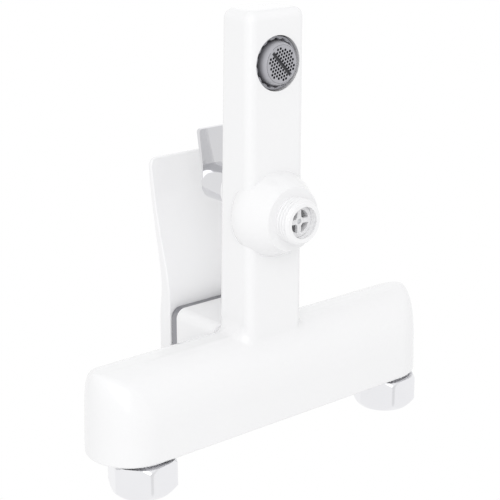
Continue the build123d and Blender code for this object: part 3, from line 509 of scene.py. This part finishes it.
# %% Both nuts
for hand, side, degrees in (("left", -1, 9.3), ("right", 1, 3.5)):
    nut = place(union_nut("plated_nut_" + hand, side, degrees))
    dress(nut, "nut_" + hand + "_body", "union_nut_" + hand, "nut_plate")

# %% [markdown]
# ## The threaded shower outlet
# The hose screws onto a half inch male thread. It is cut on a lathe and then lacquered with
# the casting, so its crests are soft and it starts behind a chamfer.

# %% Nipple sizes: the thread's ends and crest from the frame
nipple_low, nipple_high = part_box("shower_nipple")
nipple_y = (nipple_low[1] + nipple_high[1]) / 2.0
nipple_crest = (nipple_high[0] - nipple_low[0]) / 2.0
nipple_end = nipple_low[2]
nipple_back = nipple_high[2]
nipple_root = -0.0145
nipple_runout = 0.0014
nipple_chamfer = 0.0013
nipple_bore = 0.0073
nipple_seat = -0.0100
nipple_hole = 0.0050
nipple_shank = 0.0090
nipple_cut_rows = 52

# %% Shower nipple: thread with a run-out, chamfered start, bore with a seat
cut = rows(nipple_end, nipple_root, nipple_cut_rows)
fade = np.clip((nipple_root - cut) / nipple_runout, 0.0, 1.0)
crest = nipple_crest - thread_depth * fade[:, None] * thread_groove(cut, pipe_pitch)
start_cone = nipple_crest - nipple_chamfer + (cut - nipple_end)
outside = np.minimum(crest, start_cone[:, None])
inner_along, inner_radius = plain_rows([
    (nipple_root, nipple_shank), (nipple_back, nipple_shank), (nipple_back, nipple_hole),
    (nipple_seat, nipple_hole), (nipple_seat, nipple_bore), (nipple_end, nipple_bore)])
nipple_mesh = lathe_mesh("threaded_nipple", np.concatenate([outside, inner_radius]),
                         np.concatenate([cut, inner_along]), (0.0, nipple_y, 0.0), "z")
dress(place(nipple_mesh), "fixed_body", "shower_nipple", "white_lacquer")

# %% [markdown]
# ## The check valve's spring
# A coil spring is a round wire carried along a helix. Each end turn is wound tighter, so that
# the spring stands on its last turn. When water opens the valve the spring is pressed together;
# here the piece only gets a mesh of its own.

# %% Spring sizes
spring_low, spring_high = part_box("check_spring")
spring_wire = 0.00025
spring_coil = (spring_high[0] - spring_low[0]) / 2.0 - spring_wire
spring_y = (spring_low[1] + spring_high[1]) / 2.0
spring_foot = spring_low[2] + spring_wire
spring_rise = spring_high[2] - spring_low[2] - 2.0 * spring_wire
spring_turns = 4
steps_per_turn = 48
end_winding = 0.4
spring_sides = 10
closed_tip = 1e-4

# %% Spring wire: height = share - 0.4 sin(2 pi share) / (2 pi)
share = rows(0.0, 1.0, steps_per_turn * spring_turns + 1)
climb = share - end_winding * np.sin(2.0 * np.pi * share) / (2.0 * np.pi)
wind = 2.0 * np.pi * spring_turns * share
outward = np.stack([np.cos(wind), np.sin(wind), 0.0 * wind], axis=-1)
line = spring_coil * outward
line[:, 1] += spring_y
line[:, 2] += spring_foot + spring_rise * climb
ahead = np.gradient(line, axis=0)
ahead /= np.linalg.norm(ahead, axis=1, keepdims=True)
sideways = np.cross(ahead, outward)
round_wire = np.linspace(0.0, 2.0 * np.pi, spring_sides, endpoint=False)[:, None]
thick = spring_wire * np.where((share > 0.0) & (share < 1.0), 1.0, closed_tip)[:, None, None]
wire_round = np.cos(round_wire) * outward[:, None, :] + np.sin(round_wire) * sideways[:, None, :]
tube = line[:, None, :] + thick * wire_round
spring_faces = tube_faces((1, share.size, spring_sides))
spring_piece = place(outward_mesh("coil_spring", tube.reshape(-1, 3), spring_faces))
merge_points(spring_piece.data, 1e-6)
dress(spring_piece, "fixed_body", "check_spring", "steel_pin")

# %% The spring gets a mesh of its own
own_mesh(spring_piece)

# %% [markdown]
# ## The aerator's nozzle
# The nozzle is a grey plastic cup, turned outside and with a plate of fine holes in front. A
# coin slot lets it be unscrewed. The cup is a lathe profile with an elliptical shoulder; a
# hexagonal grid of small prisms and one flat bar are then cut out of it with a Boolean, which
# is how a mould's pins would leave it.

# %% Nozzle sizes
nozzle_low, nozzle_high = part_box("aerator_face")
aerator_y = (nozzle_low[1] + nozzle_high[1]) / 2.0
nozzle_front = nozzle_low[2]
nozzle_back = nozzle_high[2]
flange_radius = (nozzle_high[0] - nozzle_low[0]) / 2.0
flange = 0.0013
flange_step = 0.0004
side_radius = flange_radius - flange_step
face_edge = 0.0079
edge_height = 0.0040
cup_bore = 0.0072
plate = 0.0013
hole_pitch = 0.0016
hole_radius = 0.00062
hole_sides = 12
hole_field = 0.0073
hole_rows_each_side = 9
hole_margin = 0.3 * hole_radius
slot_angle = math.radians(46.6)
slot_length = 0.0150
slot_width = 0.0017
slot_depth = 0.0009


# %% Cutters
def punch(name, spots, outline, low, high):
    """Closed prisms, one for each spot: corner = spot + outline point, at the low and the high end."""
    points = np.empty((len(spots), 2, len(outline), 3))
    points[..., :2] = spots[:, None, None, :] + outline
    points[..., 2] = np.array([low, high])[None, :, None]
    corner = np.arange(points[..., 0].size).reshape(points.shape[:3])
    beside = np.roll(corner, -1, axis=2)
    walls = np.stack([corner[:, 0], beside[:, 0], beside[:, 1], corner[:, 1]], axis=-1).reshape(-1, 4)
    ends = np.concatenate([corner[:, 0, ::-1], corner[:, 1]])
    mesh = bpy.data.meshes.new(name)
    mesh.from_pydata(points.reshape(-1, 3).tolist(), [], walls.tolist() + ends.tolist())
    return place(mesh)


def cut_out(piece, cutter):
    """Takes the cutter out of the piece with a Boolean and keeps the result as the piece's mesh."""
    cut = piece.modifiers.new("cut", "BOOLEAN")
    cut.operation = "DIFFERENCE"
    cut.solver = "EXACT"
    cut.object = cutter
    keep_result(piece)
    bpy.data.objects.remove(cutter)


# %% Nozzle cup
shoulder_rows = 9
bend = rows(0.0, math.pi / 2, shoulder_rows)
shoulder_along = nozzle_front + edge_height * (1.0 - np.cos(bend))
shoulder_radius = face_edge + (side_radius - face_edge) * np.sin(bend)
cup_along, cup_radius = plain_rows([
    (nozzle_front, 0.0), *zip(shoulder_along, shoulder_radius),
    (nozzle_back - flange, side_radius), (nozzle_back - flange, flange_radius),
    (nozzle_back, flange_radius), (nozzle_back, cup_bore),
    (nozzle_front + plate, cup_bore), (nozzle_front + plate, 0.0)])
cup_mesh = lathe_mesh("aerator_nozzle", cup_radius, cup_along, (0.0, aerator_y, 0.0), "z", poles=True)
merge_points(cup_mesh, 1e-8)
nozzle = place(cup_mesh)

# %% Holes on a hexagonal grid, left out beside the coin slot
grid = np.arange(-hole_rows_each_side, hole_rows_each_side + 1)
row, column = np.meshgrid(grid, grid, indexing="ij")
along = hole_pitch * (column + row / 2.0)
across = hole_pitch * row * math.sqrt(3.0) / 2.0
clear = np.abs(across) > slot_width / 2.0 + hole_margin
kept = (np.hypot(along, across) < hole_field) & clear
cosine = math.cos(slot_angle)
sine = math.sin(slot_angle)
slot_turn = np.array([[cosine, sine], [-sine, cosine]])
centre_spot = np.array([[0.0, aerator_y]])
hole_spots = np.stack([along[kept], across[kept]], axis=-1) @ slot_turn + centre_spot
hole_turn = np.linspace(0.0, 2.0 * np.pi, hole_sides, endpoint=False)
hole_outline = hole_radius * np.stack([np.cos(hole_turn), np.sin(hole_turn)], axis=-1)
square = np.array([[-1.0, -1.0], [1.0, -1.0], [1.0, 1.0], [-1.0, 1.0]])
slot_outline = square * (slot_length / 2.0, slot_width / 2.0) @ slot_turn

# %% Holes and slot are cut, from a little before the face
overrun = 0.001
pins_end = nozzle_front + plate + overrun
slot_floor = nozzle_front + slot_depth
cut_out(nozzle, punch("hole_pins", hole_spots, hole_outline, nozzle_front - overrun, pins_end))
cut_out(nozzle, punch("slot_bar", centre_spot, slot_outline, nozzle_front - overrun, slot_floor))
shade_smooth(nozzle.data, 30.0)
even_normals(nozzle.data, 30.0, least_width=0.0006)
dress(nozzle, "fixed_body", "aerator_face", "aerator_plastic")
print("holes", len(hole_spots), "nozzle faces", len(nozzle.data.polygons))

# %% [markdown]
# ## The aerator's ring
# The nozzle sits in a threaded ring that nearly fills the hole in the spout. Its inner edge is
# notched, to let air in beside the nozzle. The notches are a radius that depends on the angle:
# a wave whose flanks a tanh makes steep.

# %% Ring sizes
ring_low, ring_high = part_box("aerator_shell")
ring_radius = (ring_high[0] - ring_low[0]) / 2.0
ring_play = 0.0003
ring_reach = 0.0029
ring_front = ring_low[2] - ring_reach
ring_chamfer = 0.0002
ring_bore = ring_radius - 0.0018
ring_lip = ring_bore - 0.00035
ring_ledge = ring_low[2] + 0.0006
ring_thread = ring_radius - 0.0006
ring_thread_start = ring_low[2] + 0.0020
ring_thread_end = ring_high[2] - 0.0003
ring_thread_depth = 0.0004
ring_pitch = 0.001
ring_cut_rows = 30
notch_count = 16
notch_depth = 0.0006
notch_steepness = 5.0

# %% Ring: outer side, thread, bore and notched mouth
thread_rows = rows(ring_thread_start, ring_thread_end, ring_cut_rows)
ring_cut = ring_thread - ring_thread_depth * thread_groove(thread_rows, ring_pitch)
outer_along, ring_outer = plain_rows([
    (ring_front, ring_radius - ring_play - ring_chamfer),
    (ring_front + ring_chamfer, ring_radius - ring_play),
    (ring_thread_start, ring_radius - ring_play)])
bore_along, ring_inner = plain_rows([
    (ring_high[2], ring_thread - 0.0005), (ring_high[2], ring_bore), (ring_ledge, ring_bore),
    (ring_ledge, ring_lip), (ring_low[2], ring_lip)])
mouth_along, ring_mouth = plain_rows([
    (ring_low[2] - ring_chamfer, ring_bore - 0.0001), (ring_front + 0.0003, ring_bore),
    (ring_front, ring_bore + ring_chamfer)])
notch = notch_depth * (0.5 + 0.5 * np.tanh(notch_steepness * np.cos(notch_count * turn)))
ring_along = np.concatenate([outer_along, thread_rows, bore_along, mouth_along])
ring_surface = np.concatenate([ring_outer, ring_cut, ring_inner, ring_mouth + notch])
ring_mesh = lathe_mesh("aerator_ring", ring_surface, ring_along, (0.0, aerator_y, 0.0), "z")
dress(place(ring_mesh), "fixed_body", "aerator_shell", "aerator_plastic")

# %% [markdown]
# ## The nozzle's own finish
# The nozzle is the same plastic as its ring, in a lighter grey, and its holes are painted
# dark as shade. Two distances tell inside from outside: the depth behind the front face and
# the distance from the nozzle's axis. In the slot only the floor is painted dark. Down the
# side the plastic is painted darker, as shade in the deep groove beside the ring.


# %% Small helpers for one tree
def math_node(tree, operation, *values):
    """A math node whose inputs are links or plain numbers. It gives back its output."""
    node = add_node(tree, "ShaderNodeMath", operation=operation)
    for socket, value in zip(node.inputs, values):
        if isinstance(value, float):
            socket.default_value = value
        else:
            tree.links.new(value, socket)
    return node.outputs[0]


def mix_colour(tree, below, above, factor):
    """The colour below, covered by a plain colour as far as the factor says."""
    blend = add_node(tree, "ShaderNodeMix", data_type="RGBA")
    blend.inputs["B"].default_value = (*above, 1.0)
    tree.links.new(below, blend.inputs["A"])
    tree.links.new(factor, blend.inputs["Factor"])
    return blend.outputs["Result"]


# %% Where a point lies in the nozzle: turned with the slot, from the middle of the face
nozzle_finish = finish("nozzle_plastic", (0.46, 0.46, 0.49), (0.37, 0.37, 0.40), (0.28, 0.42),
                       bump=0.000012, ripple_size=900.0)
tree = nozzle_finish.node_tree
base_colour = tree.nodes["Principled BSDF"].inputs["Base Color"]
coords = add_node(tree, "ShaderNodeTexCoord")
turned = add_node(tree, "ShaderNodeMapping", vector_type="TEXTURE")
turned.inputs["Location"].default_value = (0.0, aerator_y, nozzle_front)
turned.inputs["Rotation"].default_value = (0.0, 0.0, slot_angle)
tree.links.new(coords.outputs["Object"], turned.inputs["Vector"])
place_of = add_node(tree, "ShaderNodeSeparateXYZ")
tree.links.new(turned.outputs["Vector"], place_of.inputs["Vector"])
flat_place = add_node(tree, "ShaderNodeVectorMath", operation="MULTIPLY")
flat_place.inputs[1].default_value = (1.0, 1.0, 0.0)
tree.links.new(turned.outputs["Vector"], flat_place.inputs[0])
from_axis = add_node(tree, "ShaderNodeVectorMath", operation="LENGTH")
tree.links.new(flat_place.outputs["Vector"], from_axis.inputs[0])

# %% Painted shade: dark holes and a darker side
skin_depth = 0.00015
dark_floor_from = 0.75 * slot_depth
half_slot = slot_width * 0.51
side_shade_start = 0.0008
side_shade_share = 0.8
# The hole walls, the cup behind the plate and the slot's floor are painted near black, as shade deep in
# them.
off_slot = math_node(tree, "ABSOLUTE", place_of.outputs["Y"])
in_slot = math_node(tree, "LESS_THAN", off_slot, half_slot)
limit = math_node(tree, "MULTIPLY_ADD", in_slot, dark_floor_from, skin_depth)
deep = math_node(tree, "GREATER_THAN", place_of.outputs["Z"], limit)
near = math_node(tree, "LESS_THAN", from_axis.outputs["Value"], face_edge + hole_radius)
inner_shade = math_node(tree, "MULTIPLY", deep, near)
# Down the side the grey is painted darker towards the back, as shade in the groove round the nozzle.
side_shade = add_node(tree, "ShaderNodeMapRange", interpolation_type="SMOOTHSTEP",
                 From_Min=side_shade_start, From_Max=edge_height, To_Max=side_shade_share)
tree.links.new(place_of.outputs["Z"], side_shade.inputs["Value"])
nozzle_grey = base_colour.links[0].from_socket
# The painted shade colour for the nozzle's side.
side_shaded = mix_colour(tree, nozzle_grey, (0.11, 0.11, 0.12), side_shade.outputs["Result"])
# Near-black painted shade goes over the holes, the cup and the slot's floor.
tree.links.new(mix_colour(tree, side_shaded, (0.03, 0.03, 0.035), inner_shade), base_colour)
nozzle.data.materials[0] = nozzle_finish
print("nozzle finish nodes", len(tree.nodes))

# %% [markdown]
# ## The woven screen in the aerator
# Behind the plastic core lies a disc of woven steel wire. Wires of each family run side by
# side and ride over and under the other family: height = a cos(pi x / pitch), with the sign
# changing from wire to wire. Each wire narrows to a point at both ends, which closes it.

# %% Screen sizes
screen_low, screen_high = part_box("aerator_screen")
screen_z = (screen_low[2] + screen_high[2]) / 2.0
screen_reach = 0.0100
wire_pitch = 0.0008
wire_radius = 0.00011
wire_steps = 60
wire_sides = 6
wires_each_side = 12
taper_power = 20

# %% Screen wires, both families at once
offset = np.arange(-wires_each_side, wires_each_side + 1) * wire_pitch
half_run = np.sqrt(screen_reach ** 2 - offset ** 2)
run = np.linspace(-1.0, 1.0, wire_steps)
round_about = np.linspace(0.0, 2.0 * np.pi, wire_sides, endpoint=False)
sign = np.where(np.arange(offset.size) % 2 == 0, 1.0, -1.0)
lengthwise = half_run[:, None] * run[None, :]
height = wire_radius * sign[:, None] * np.cos(np.pi * lengthwise / wire_pitch)
thick = wire_radius * np.sqrt(1.0 - run ** taper_power)
wires = np.empty((2, offset.size, wire_steps, wire_sides, 3))
for family, order in enumerate(((0, 1), (1, 0))):
    swing = 1.0 - 2.0 * family
    wires[family, ..., order[0]] = lengthwise[..., None] + 0.0 * round_about
    wires[family, ..., order[1]] = offset[:, None, None] + thick[None, :, None] * np.cos(round_about)
    wires[family, ..., 2] = swing * height[..., None] + thick[None, :, None] * np.sin(round_about)
wires = wires.reshape(-1, wire_steps, wire_sides, 3) + np.array([0.0, aerator_y, screen_z])
screen_mesh = outward_mesh("woven_screen", wires.reshape(-1, 3), tube_faces(wires.shape[:3]))
merge_points(screen_mesh, 1e-8)
dress(place(screen_mesh), "fixed_body", "aerator_screen", "steel_screen")

# %% [markdown]
# ## Light, background and floor
# White enamel on white needs even light from all round, with a little more from the viewer's
# side so that edges turning away go softly grey. The world is plain white where the camera,
# a mirror or glass looks at it, and a shade darker as a lamp. The floor holds the soft shadow
# in its middle and fades to the same white before its edge.

# %% World
lamp_share = 0.885


def seen_directly(tree):
    """1 for rays from the camera, a mirror or glass, and 0 for the rays that carry light."""
    path = add_node(tree, "ShaderNodeLightPath")
    seen = math_node(tree, "MAXIMUM", path.outputs["Is Camera Ray"], path.outputs["Is Glossy Ray"])
    return math_node(tree, "MAXIMUM", seen, path.outputs["Is Transmission Ray"])


world = bpy.data.worlds.new("studio")
bpy.context.scene.world = world
world.use_nodes = True
tree = world.node_tree
tree.nodes.clear()
level = add_node(tree, "ShaderNodeMapRange", To_Min=lamp_share, To_Max=1.0)
tree.links.new(seen_directly(tree), level.inputs["Value"])
backdrop = add_node(tree, "ShaderNodeBackground", Color=(1.0, 1.0, 1.0, 1.0))
tree.links.new(level.outputs["Result"], backdrop.inputs["Strength"])
world_out = add_node(tree, "ShaderNodeOutputWorld")
tree.links.new(backdrop.outputs["Background"], world_out.inputs["Surface"])


# %% Soft lamps
def soft_lamp(name, place, aim, width, watts):
    """A square area lamp at one place, turned towards another."""
    data = bpy.data.lights.new(name, "AREA")
    data.size = width
    data.energy = watts
    lamp = bpy.data.objects.new(name, data)
    bpy.context.scene.collection.objects.link(lamp)
    lamp.location = place
    lamp.rotation_euler = (Vector(aim) - Vector(place)).to_track_quat("-Z", "Y").to_euler()


soft_lamp("viewer_softbox", place=(-0.66, -0.6, -1.25), aim=(0.0, -0.1, 0.0), width=1.7, watts=11.0)
soft_lamp("upper_softbox", place=(0.7, -0.7, 1.0), aim=(0.0, -0.08, 0.0), width=0.9, watts=0.3)

# %% Floor
floor_z = -1.35
floor_reach = 1.6
shadow_reach = 0.5
white_from = 0.95 * floor_reach
floor_corners = [(floor_reach * x, floor_reach * y, floor_z) for x, y in square.tolist()]
floor_mesh = bpy.data.meshes.new("studio_floor")
floor_mesh.from_pydata(floor_corners, [], [(0, 1, 2, 3)])
floor = place(floor_mesh)
floor_finish = finish("pale_floor", (0.92, 0.92, 0.92), (0.90, 0.90, 0.90), (0.6, 0.7))
floor_mesh.materials.append(floor_finish)

# %% The floor fades into the white background, beyond the shadow
tree = floor_finish.node_tree
coords = add_node(tree, "ShaderNodeTexCoord")
from_centre = add_node(tree, "ShaderNodeVectorMath", operation="DISTANCE")
from_centre.inputs[1].default_value = (0.0, 0.0, floor_z)
tree.links.new(coords.outputs["Object"], from_centre.inputs[0])
away = add_node(tree, "ShaderNodeMapRange", interpolation_type="SMOOTHSTEP",
                From_Min=shadow_reach, From_Max=white_from)
tree.links.new(from_centre.outputs["Value"], away.inputs["Value"])
white_share = math_node(tree, "MULTIPLY", away.outputs["Result"], seen_directly(tree))
white = add_node(tree, "ShaderNodeEmission", Color=(1.0, 1.0, 1.0, 1.0))
mixed = add_node(tree, "ShaderNodeMixShader")
tree.links.new(white_share, mixed.inputs["Fac"])
tree.links.new(tree.nodes["Principled BSDF"].outputs["BSDF"], mixed.inputs[1])
tree.links.new(white.outputs["Emission"], mixed.inputs[2])
tree.links.new(mixed.outputs["Shader"], tree.nodes["Material Output"].inputs["Surface"])
print("floor turns white between", shadow_reach, "and", round(white_from, 2), "m")
